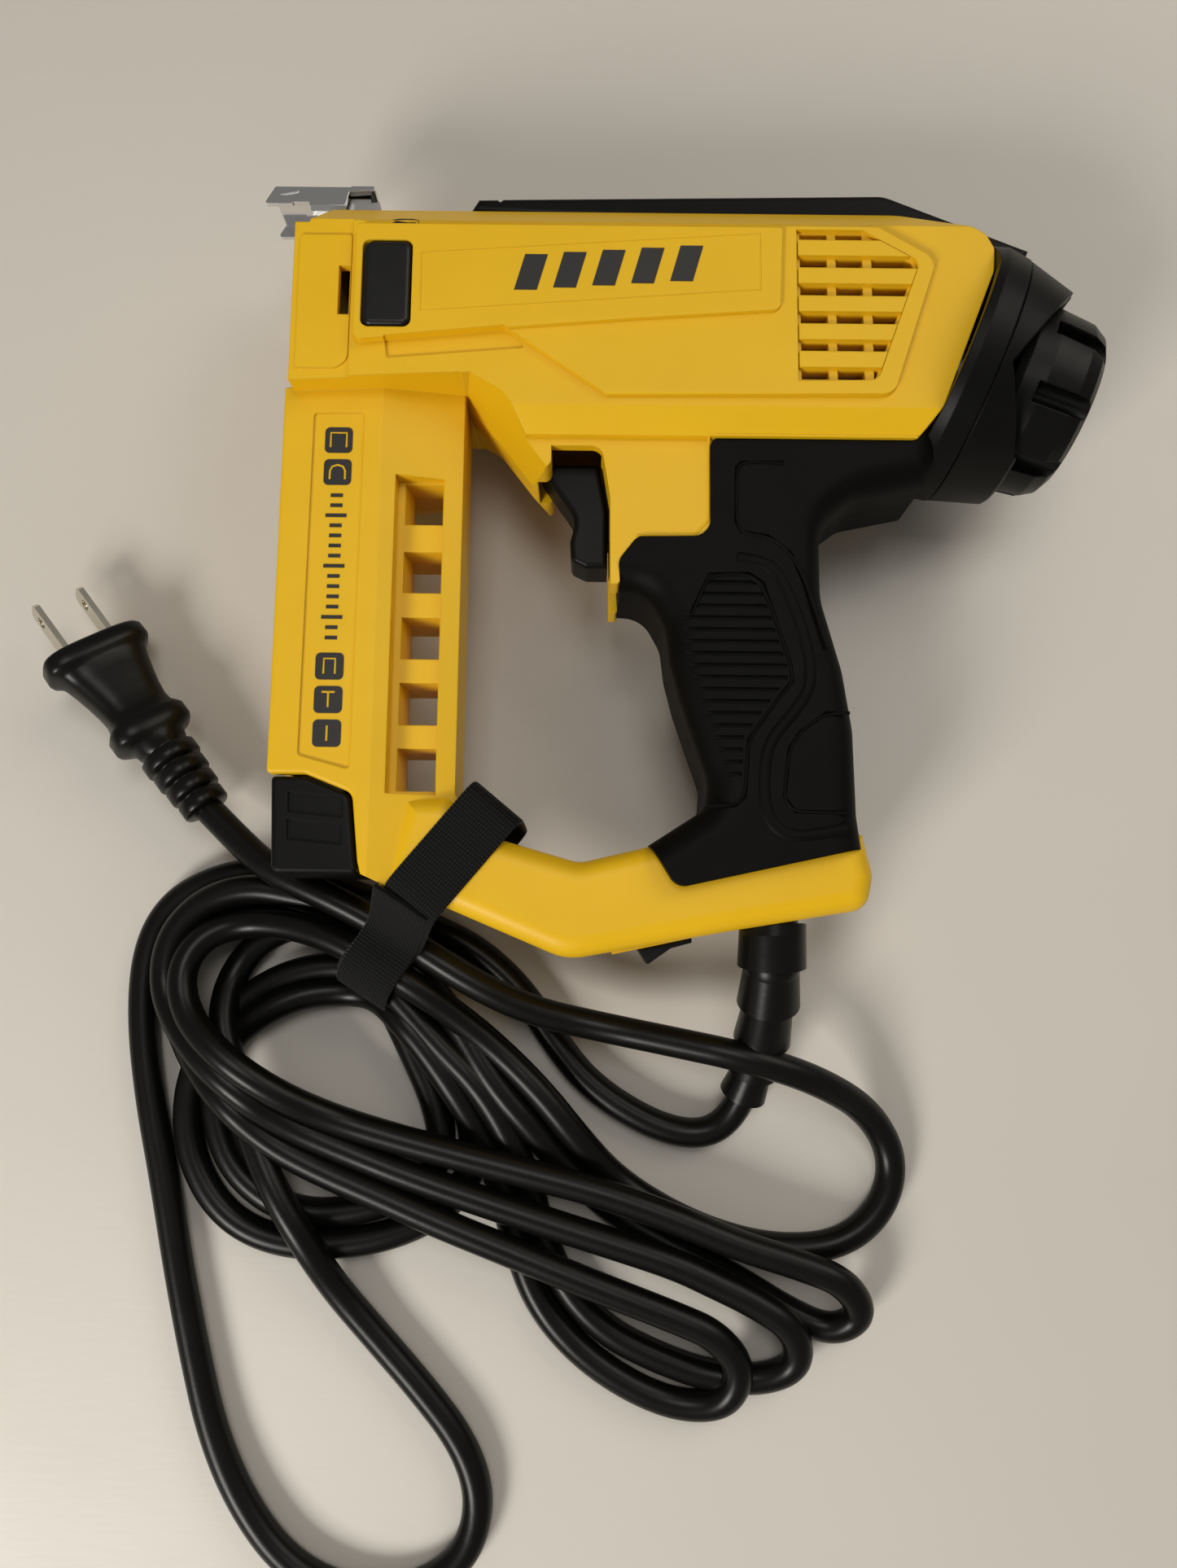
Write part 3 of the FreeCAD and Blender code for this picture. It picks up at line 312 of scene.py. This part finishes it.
# ---- label on the magazine: fastener pictograms and a plain scale ----
SIGN_LEFT, SIGN_W, SIGN_H = -90.3, 6.9, 6.7
SIGN_TOPS = (30.8, 22.4, -27.2, -35.5, -43.8)
SIGN_LINES = {
    "flat_staple": [[(-2.0, -1.9), (-2.0, 1.9), (2.0, 1.9), (2.0, -1.9)]],
    "round_staple": [[(-1.9, -1.9), (-1.9, 0.3), (-1.35, 1.45), (0.0, 1.9), (1.35, 1.45), (1.9, 0.3),
                      (1.9, -1.9)]],
    "narrow_staple": [[(-1.4, -1.9), (-1.4, 1.9), (1.4, 1.9), (1.4, -1.9)]],
    "nail": [[(-1.6, 1.9), (1.6, 1.9)], [(0, 1.9), (0, -1.9)]],
    "pin": [[(0, 1.9), (0, -1.9)]],
}
for top, (sign, lines) in zip(SIGN_TOPS, SIGN_LINES.items()):
    outline = rounded_box(SIGN_LEFT, top - SIGN_H, SIGN_LEFT + SIGN_W, top, 1.2)
    decal(f"label_{sign}", outline, "print_black")
    centre = (SIGN_LEFT + SIGN_W / 2, top - SIGN_H / 2)
    drawn = []
    for line in lines:
        drawn.append([SHELL.at(centre[0] + x, centre[1] + y, 0.05) for x, y in line])
    curve_piece(f"mark_{sign}", drawn, 0.55 * MM, "yellow_shell")

SCALE_X, SCALE_TOP, SCALE_STEP, SCALE_TICKS = -86.8, 13.0, 2.6, 15
for tick in range(SCALE_TICKS):
    half = 2.6 if tick % 5 == 2 else 1.5
    y = SCALE_TOP - tick * SCALE_STEP
    decal(f"scale_tick_{tick:02d}", [(SCALE_X - half, y - 0.45), (SCALE_X + half, y - 0.45),
                                     (SCALE_X + half, y + 0.45), (SCALE_X - half, y + 0.45)], "print_black")

# ---- outlines on the left face ----
FACE_PANEL = [(-66, 56.3), (17.7, 62.8), (17.7, 77.6), (-66, 71.7)]


def ridge(name, outline, width, spacing=3.0, closed=True, sink=0.1):
    """Fine raised line along an outline on the left housing."""
    points = []
    ends = outline[1:] + outline[:1] if closed else outline[1:]
    for (x0, y0), (x1, y1) in zip(outline, ends):
        count = max(2, int(math.hypot(x1 - x0, y1 - y0) / spacing))
        for i in range(count):
            points.append(SHELL.at(x0 + (x1 - x0) * i / count, y0 + (y1 - y0) * i / count, -sink))
    if not closed:
        points.append(SHELL.at(*outline[-1], -sink))
    return curve_piece(name, [points], width * MM, "yellow_shell", closed=closed)


ridge("face_panel_line", FACE_PANEL, 0.5)
BAR_X, BAR_STEP, BAR_COUNT, BAR_LEAN = -43.0, 9.6, 5, 2.6
for bar in range(BAR_COUNT):
    x = BAR_X + bar * BAR_STEP
    y = 62.2 + bar * BAR_STEP * 0.07
    decal(f"face_bar_{bar}", [(x, y), (x + 5.6, y), (x + 5.6 + BAR_LEAN, y + 9.4), (x + BAR_LEAN, y + 9.4)],
          "print_black")


# ---- raised lines of the rubber grip, and the lip of the shell round it ----
GRIP = Surface("left_grip")
RIB_FIELD = [(1.2, -17.8), (3.2, -12.8), (5.4, -8.0), (10.5, -7.4), (15.6, -7.5), (18.8, -11.0),
             (22.0, -20.0),
             (25.2, -30.6), (25.4, -34.4), (22.4, -37.6), (17.6, -44.0), (14.6, -48.8), (14.2, -55.0),
             (13.7, -62.2),
             (10.6, -64.4), (5.2, -64.3)]
TOP_PANEL = [(24.0, 21.0), (19.0, 21.3), (13.4, 21.2), (12.4, 18.6), (12.2, 12.0), (12.3, 5.4), (14.0, 2.9),
             (19.6, 2.4), (24.6, -0.8), (28.4, -7.6), (31.0, -16.0), (34.0, -25.6)]
HEEL_PANEL = [(39.0, -41.5), (34.4, -41.6), (30.8, -43.2), (25.8, -47.8), (24.2, -52.0), (23.4, -58.0),
              (23.1, -62.6),
              (25.2, -65.4), (31.0, -65.6), (38.6, -65.7)]
SOFT_RIDGE = [(12.4, -3.2), (19.4, -3.6), (23.4, -9.0), (27.4, -19.0), (29.8, -29.0), (29.6, -35.6),
              (25.8, -41.4),
              (20.4, -47.6), (18.6, -53.0), (18.2, -62.0), (19.8, -68.4), (24.6, -71.4), (31.0, -70.8),
              (38.0, -69.4)]
for name, outline, width, sink in (("rib_field_line", RIB_FIELD, 0.85, 0.1),
                                   ("top_panel_line", TOP_PANEL, 0.85, 0.1),
                                   ("heel_panel_line", HEEL_PANEL, 0.85, 0.1),
                                   ("soft_ridge", SOFT_RIDGE, 5.0, 2.0)):
    # the plain surface beside a groove sets the height, so the line does not dip into it
    level = max(GRIP.at(x, y).z for x, y in outline)
    line = [Vector((x * MM, y * MM, level - sink * MM)) for x, y in outline]
    curve_piece(f"grip_{name}", [line], width * MM, "grip_rubber", order=3)

SHELL_LIP = [(57.0, 27.9), (5.5, 27.9), (5.4, 6.7), (2.0, 2.8), (-12.2, 2.5)]
ridge("shell_lip", SHELL_LIP, 0.9, spacing=2.0, closed=False, sink=0.15)


# ---- cord ----
RELIEF_END = [(18.3, -135.4, 7.8), (15.6, -142.4, 5.0), (7.2, -147.2, 4.0)]
FROM_RELIEF = [
    (-5.5, -144.5, 4), (-21.5, -135, 4), (-31, -124, 4), (-39, -112, 4), (-47, -103.5, 4), (-56, -97, 4),
    (-65, -93, 4), (-74, -89, 4), (-85.5, -84.5, 4)]
BIG_LOOP = [
    (-98, -80, 4), (-113, -77.5, 4), (-127, -80.5, 4), (-137.5, -87.5, 4), (-143, -99, 4),
    (-143.5, -116.5, 4), (-140, -138, 4), (-134.5, -160, 4), (-129.5, -182.5, 4), (-124, -204, 4),
    (-118.5, -222.5, 4), (-110.5, -238.5, 4), (-99.5, -252, 4), (-87, -259, 4), (-74, -261, 4),
    (-60.5, -257.5, 4), (-51.5, -249.5, 4), (-49, -237, 4), (-54, -224, 4), (-65.5, -210.5, 4),
    (-77.5, -198, 4), (-88, -186, 6), (-95.5, -173, 12), (-102.5, -162, 13), (-108, -151.5, 12),
    (-113, -139.5, 11), (-117, -127.5, 11), (-120.5, -116.5, 9), (-119, -104.5, 4), (-110, -94.5, 4),
    (-96.5, -91, 4), (-84.5, -93, 4), (-75.5, -98, 4)]
SMALL_RING_1 = [
    (-69, -107.5, 4), (-62.5, -119.5, 4), (-57, -132.5, 4), (-53, -146, 4), (-53, -157, 4),
    (-60, -166.5, 4), (-71.5, -172.5, 4), (-85, -175.5, 4), (-99, -176, 4), (-112, -172.5, 4),
    (-121.5, -165, 4), (-128, -153.5, 4), (-130, -141, 4), (-128, -129.5, 4), (-123, -120, 4),
    (-114.5, -111.5, 4), (-104, -105.5, 4), (-92, -103, 4), (-82, -104.5, 4)]
SMALL_RING_2 = [
    (-76, -114, 4), (-70, -125.5, 4), (-64, -137.5, 4), (-61, -148.5, 4), (-64, -158, 4), (-73, -164, 4),
    (-85, -167.5, 4), (-97.5, -168, 4), (-108, -164, 4), (-117, -156, 4), (-121.5, -145.5, 4),
    (-123, -134, 4), (-119.5, -124, 5), (-110.5, -116, 7), (-100, -111, 6), (-89, -110, 4),
    (-80, -111, 6)]
LONG_TURN_1 = [
    (-72.5, -116.5, 12), (-65, -125, 12), (-57.5, -135.5, 11), (-50, -148, 6), (-45, -161.5, 4),
    (-41, -175.5, 4), (-35, -190, 4), (-24, -202, 4), (-10.5, -210.5, 4), (2.5, -215, 4),
    (14, -213.5, 6), (17.5, -203.5, 10), (10.5, -195, 12), (0.5, -191, 12), (-12, -186.5, 12),
    (-28.5, -180.5, 12), (-45.5, -174, 12), (-61.5, -168, 12), (-77, -161.5, 12), (-92, -155.5, 12),
    (-105.5, -148.5, 13), (-117, -138, 16), (-128, -126.5, 10), (-135, -113.5, 4), (-134, -100, 4),
    (-126.5, -90, 4), (-114.5, -85.5, 4), (-101, -87, 6), (-89.5, -94.5, 10), (-81.5, -103, 12)]
LONG_TURN_2 = [
    (-72.5, -112, 12), (-62, -123.5, 12), (-51.5, -133.5, 12), (-43.5, -146, 10), (-38, -160.5, 4),
    (-34, -174.5, 4), (-27.5, -187, 4), (-17, -197, 4), (-4, -203, 4), (9.5, -207.5, 4), (23.5, -208, 5),
    (32.5, -203, 8), (30.5, -193, 12), (19.5, -186.5, 12), (10.5, -182.5, 12), (0.5, -178, 12),
    (-16, -173, 12), (-34.5, -167.5, 12), (-52.5, -162, 12), (-69.5, -156.5, 12), (-85.5, -150.5, 12),
    (-100.5, -144, 14), (-112.5, -135, 20), (-124.5, -125, 18), (-135, -112, 12), (-135, -97.5, 12),
    (-127, -87, 12), (-114.5, -82.5, 12), (-101, -84.5, 12), (-87.5, -88.5, 12), (-77, -96, 12)]
LONG_TURN_3 = [
    (-67.5, -105, 12), (-57, -118, 12), (-47.5, -133.5, 12), (-36.5, -145.5, 10), (-26.5, -157.5, 4),
    (-13.5, -168, 4), (2, -176.5, 4), (17.5, -184, 4), (30, -191.5, 4), (41.5, -196, 5), (49, -190.5, 9),
    (43.5, -181.5, 13), (30.5, -177, 13), (16.5, -173, 13), (0, -166.5, 13), (-18, -160.5, 13),
    (-36.5, -156, 13), (-55.5, -151.5, 13), (-73.5, -147, 13), (-90, -142, 14), (-103.5, -135, 20),
    (-116, -126.5, 22), (-126.5, -117, 18), (-130, -105.5, 16), (-125.5, -96, 14), (-115, -92, 12),
    (-102, -92.5, 15), (-89.5, -96, 19), (-78.5, -102, 20)]
RIGHT_LOOP = [
    (-67.5, -108.5, 19), (-57.5, -115.5, 15), (-46.5, -124.5, 12), (-35, -135.5, 12), (-25.5, -147, 10),
    (-16, -158, 4), (-3.5, -166, 4), (11.5, -172.5, 4), (28, -176, 4), (44.5, -174.5, 4),
    (55.5, -165.5, 4), (59, -152.5, 4), (51.5, -139.5, 8), (35.5, -130.5, 18), (17.5, -125, 22),
    (-1.5, -121.5, 18), (-21, -118, 14), (-38.5, -114, 17), (-54, -106.5, 20), (-68.5, -97.5, 20),
    (-81.5, -90, 20), (-93, -84.5, 20)]
TO_PLUG = [(-106.5, -78.6, 18.0), (-117.0, -70.0, 15.0), (-125.7, -61.7, 13.5)]
CORD_ROUTE = (RELIEF_END + FROM_RELIEF + BIG_LOOP + SMALL_RING_1 + SMALL_RING_2 + LONG_TURN_1 + LONG_TURN_2
              + LONG_TURN_3 + RIGHT_LOOP + TO_PLUG)

cord = curve_piece("mains_cord", [[mm(*p) for p in CORD_ROUTE]], CORD_D, "cord_pvc", order=3)
cord.data.bevel_resolution = 8
cord.data.resolution_u = 14
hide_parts("cord_lead", "cord_hank", "plug_lead")

# ---- plug ----
PLUG_ROLL = math.radians(28.0)
PLUG_HEADING = math.radians(128.0)
PLUG_FACE = (-160.2, -17.6, 13.5)
# distance behind the face, half width, half thickness, squareness
PLUG_SECTIONS = [
    (-0.1, 11.4, 5.4, 3.4), (0.0, 12.8, 6.6, 3.4), (0.5, 13.9, 7.5, 3.4), (1.3, 14.5, 8.0, 3.4),
    (4.4, 14.6, 8.0, 3.4), (5.4, 14.1, 7.7, 3.4), (6.2, 13.0, 7.2, 3.2), (7.4, 12.1, 6.9, 3.0),
    (11, 11.0, 6.8, 2.9), (15, 10.0, 6.6, 2.9), (19, 9.2, 6.4, 2.8), (22.5, 8.8, 6.3, 2.8),
    (24.8, 9.2, 6.5, 2.8), (26.2, 10.3, 7.1, 3.0), (27.2, 11.0, 7.6, 3.0), (30.6, 11.0, 7.6, 3.0),
    (31.6, 10.4, 7.2, 3.0), (32.4, 8.9, 6.9, 2.6), (33.2, 7.4, 6.7, 2.2), (35.4, 6.9, 6.6, 2.0)]
RING_START, RING_STEP, RING_COUNT = 36.2, 5.0, 4
RING_RADIUS, RING_TAPER, RING_GROOVE = 7.8, 0.46, 1.9


def plug_sections():
    """The moulded body's sections, then those of the ringed sleeve behind it."""
    sections = list(PLUG_SECTIONS)
    for ring in range(RING_COUNT):
        start = RING_START + ring * RING_STEP
        radius = RING_RADIUS - RING_TAPER * ring
        gap = radius - RING_GROOVE
        for along, size in ((0.0, gap), (0.9, gap), (1.0, radius - 0.4), (1.3, radius), (4.4, radius),
                            (4.9, radius - 0.35)):
            sections.append((start + along, size, size, 2.0))
    end = RING_START + RING_COUNT * RING_STEP
    sections.append((end, 4.4, 4.4, 2.0))
    sections.append((end + 0.4, 3.6, 3.6, 2.0))
    return sections


def plug_body():
    around = 56
    place = (Matrix.Translation(Vector(PLUG_FACE)) @ Matrix.Rotation(PLUG_HEADING, 4, "Z")
             @ Matrix.Rotation(PLUG_ROLL, 4, "X"))
    verts = []
    sections = plug_sections()
    for back, half_width, half_thick, square in sections:
        for i in range(around):
            angle = 2 * math.pi * i / around
            c, s = math.cos(angle), math.sin(angle)
            y = half_width * math.copysign(abs(c) ** (2 / square), c)
            z = half_thick * math.copysign(abs(s) ** (2 / square), s)
            verts.append((place @ Vector((-back, y, z))) * MM)
    faces = []
    for row in range(len(sections) - 1):
        for i in range(around):
            j = (i + 1) % around
            faces.append((row * around + i, row * around + j, (row + 1) * around + j,
                          (row + 1) * around + i))
    faces.append(tuple(range(around)))
    faces.append(tuple((len(sections) - 1) * around + i for i in range(around))[::-1])
    piece = mesh_piece("plug_moulding", verts, faces, "cord_pvc", smooth=True)
    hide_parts("plug_body")
    return piece


plug = plug_body()


# ---- strap ----
STRAP_MIDDLE = (-53.2, -72.8)
STRAP_TURN = math.radians(-129.6)
# distance along the strap's line in plan, height, both in mm
STRAP_PATH = [(14, 17.2), (0, 17.0), (-8, 17.0), (-11.4, 18.2), (-12.5, 22), (-12.6, 42), (-12.0, 46.6),
              (-9.6, 48.3),
              (0, 48.2), (12, 48.2), (17.4, 48.0), (19.8, 46.4), (22.2, 41), (25.2, 33.2), (28, 27.6),
              (31, 25.6),
              (38, 25.4), (42, 23.8), (45, 19.4), (46.4, 14.6)]


def band(name, path, spin=0.0, hinge=0.0):
    """Closed strip of webbing along a smooth line through path, turned by spin about its point at hinge."""
    knots = [Vector((s, 0, z)) for s, z in path]
    line = []
    for i in range(len(knots) - 1):
        before = knots[max(i - 1, 0)]
        after = knots[min(i + 2, len(knots) - 1)]
        for step in range(BAND_STEPS):
            t = step / BAND_STEPS
            a, b = knots[i], knots[i + 1]
            ta, tb = (b - before) * 0.5, (after - a) * 0.5
            # the tangents are kept short so that the tight bends do not overshoot
            reach = (b - a).length
            ta = ta.normalized() * min(ta.length, reach)
            tb = tb.normalized() * min(tb.length, reach)
            line.append(a * (2 * t ** 3 - 3 * t ** 2 + 1) + ta * (t ** 3 - 2 * t ** 2 + t)
                        + b * (3 * t ** 2 - 2 * t ** 3) + tb * (t ** 3 - t ** 2))
    line.append(knots[-1])
    across = [-1, -0.94, -0.5, 0, 0.5, 0.94, 1]
    verts, weave, run = [], [], 0.0
    for i, point in enumerate(line):
        ahead = line[min(i + 1, len(line) - 1)] - line[max(i - 1, 0)]
        normal = Vector((-ahead.z, 0, ahead.x)).normalized()
        run += (point - line[i - 1]).length if i else 0.0
        for side in (1, -1):
            for share in across:
                edge = 0.55 if abs(share) == 1 else 1.0
                place = point + normal * side * edge * STRAP_THICK / 2 / MM
                place.y = share * STRAP_W / 2 / MM
                lean = Matrix.Rotation(spin, 3, "Z")
                place = lean @ (place - Vector((hinge, 0, 0))) + Vector((hinge, 0, 0))
                verts.append((Matrix.Rotation(STRAP_TURN, 3, "Z") @ place
                              + Vector((*STRAP_MIDDLE, 0))) * MM)
                weave.append((share * STRAP_W / 2 + STRAP_W, run * MM))
    row, n = 2 * len(across), len(across)
    ring = list(range(n)) + [n + k for k in reversed(range(n))]
    faces = []
    for i in range(len(line) - 1):
        for k in range(row):
            a, b = ring[k], ring[(k + 1) % row]
            faces.append((i * row + a, i * row + b, (i + 1) * row + b, (i + 1) * row + a))
    faces.append(tuple(ring[::-1]))
    faces.append(tuple((len(line) - 1) * row + k for k in ring))
    piece = mesh_piece(name, verts, faces, "strap_nylon", smooth=True)
    layer = piece.data.uv_layers.new(name="weave")
    for loop in piece.data.loops:
        layer.data[loop.index].uv = weave[loop.vertex_index]
    return piece


strap = band("cord_strap", STRAP_PATH)
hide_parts("strap")
TAIL_PATH = [(20.4, 48.0), (21.4, 46.4), (23.8, 40.6), (26.8, 33.0), (29.4, 28.6), (32, 27.2),
             (38, 27.0), (42.6, 25.4),
             (46.2, 20.4), (47.4, 15.8)]
band("cord_strap_tail", TAIL_PATH, spin=math.radians(7), hinge=34.0)


# ---- latch of the nose plate, whose notch is a near-black sheet of painted shade ----
LATCH = [(-73.9, 79.7), (-72.6, 79.7), (-72.0, 80.9), (-69.0, 80.9), (-68.4, 79.7), (-67.3, 79.7),
         (-67.3, 82.0),
         (-69.2, 83.2), (-72.4, 83.2), (-73.9, 82.2)]
decal("latch_notch_painted_shade", LATCH, "painted_shade_slot", thick=0.15)


# ---- springs ----
def coil(node, along, fixed_high, turns, wire, body="root"):
    """Wire helix in place of a spring's plain sleeve; along is its axis, 0 to 2; sizes in mm."""
    low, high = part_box(node)
    middle = (Vector(low) + Vector(high)) / 2
    size = Vector(high) - Vector(low)
    side, up = [i for i in range(3) if i != along]
    section = wire * MM / 2
    radius = min(size[side], size[up]) / 2 - section
    per_turn, around = 28, 8
    steps = turns * per_turn
    verts = []
    for i in range(steps + 1):
        angle = 2 * math.pi * i / per_turn
        for k in range(around):
            turn = 2 * math.pi * k / around
            reach = radius + section * math.cos(turn)
            place = middle.copy()
            place[side] += reach * math.cos(angle)
            place[up] += reach * math.sin(angle)
            place[along] = (low[along] + section + (size[along] - 2 * section) * i / steps
                            + section * math.sin(turn))
            verts.append(place)
    faces = [tuple(range(around)), tuple(steps * around + k for k in range(around))[::-1]]
    for i in range(steps):
        for k in range(around):
            a, b = i * around + k, i * around + (k + 1) % around
            faces.append((a, b, b + around, a + around))
    piece = mesh_piece(f"{node}_coil", verts, faces, "spring_steel", body, smooth=True)
    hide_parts(node)
    axis = Vector((0, 0, 0))
    axis[along] = 1
    middle[along] = high[along] if fixed_high else low[along]
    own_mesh(piece)


coil("return_spring", 0, False, 5, 1.2)
coil("trigger_spring", 0, True, 6, 0.6)
coil("pusher_spring", 1, False, 18, 0.6, body="magazine")


# ---- floor, light and camera ----
def floor():
    size = 3.0
    mesh = bpy.data.meshes.new("floor")
    mesh.from_pydata([(-size, -size, 0), (size, -size, 0), (size, size, 0), (-size, size, 0)], [],
                     [(0, 1, 2, 3)])
    piece = bpy.data.objects.new("floor", mesh)
    SCENE.collection.objects.link(piece)
    tree = Tree("floor_white")
    tree.join(tree.blend(tree.noise(5.0), (0.60, 0.56, 0.50), (0.66, 0.62, 0.56)),
              tree.shader.inputs["Base Color"])
    tree.join(tree.spread(tree.noise(30.0), 0.42, 0.55), tree.shader.inputs["Roughness"])
    tree.join(tree.bump(tree.noise(120.0, 2.0, (1, 5, 1)), 0.08, 0.5 * MM), tree.shader.inputs["Normal"])
    mesh.materials.append(tree.material)


def area_light(name, place, target, size, watts, colour):
    lamp = bpy.data.lights.new(name, "AREA")
    lamp.size = size
    lamp.energy = watts
    lamp.color = colour
    holder = bpy.data.objects.new(name, lamp)
    holder.location = place
    holder.rotation_euler = (Vector(target) - Vector(place)).to_track_quat("-Z", "Y").to_euler()
    SCENE.collection.objects.link(holder)


def lights():
    target = (-0.02, -0.08, 0.0)
    area_light("key", (-0.55, -0.75, 0.62), target, 0.32, 7.5, (1.0, 0.97, 0.92))
    area_light("fill", (0.75, 0.65, 0.9), target, 0.7, 4.2, (1.0, 0.95, 0.86))
    area_light("top", (0.0, 0.25, 1.3), target, 0.5, 3.6, (1.0, 0.98, 0.95))
    world = bpy.data.worlds.new("soft_room")
    world.use_nodes = True
    back = world.node_tree.nodes["Background"]
    back.inputs["Color"].default_value = (1.0, 0.97, 0.92, 1)
    back.inputs["Strength"].default_value = 0.2
    SCENE.world = world


def camera():
    lens = bpy.data.cameras.new("camera")
    lens.lens = 27.05
    lens.sensor_width = 36.0
    lens.clip_start = 0.01
    holder = bpy.data.objects.new("camera", lens)
    place = Matrix.Translation((-0.0234, -0.0983, 0.328))
    holder.matrix_world = place @ Matrix.Rotation(math.radians(8), 4,
                                                  "X") @ Matrix.Rotation(math.radians(0.6), 4, "Z")
    SCENE.collection.objects.link(holder)
    SCENE.camera = holder


floor()
lights()
camera()
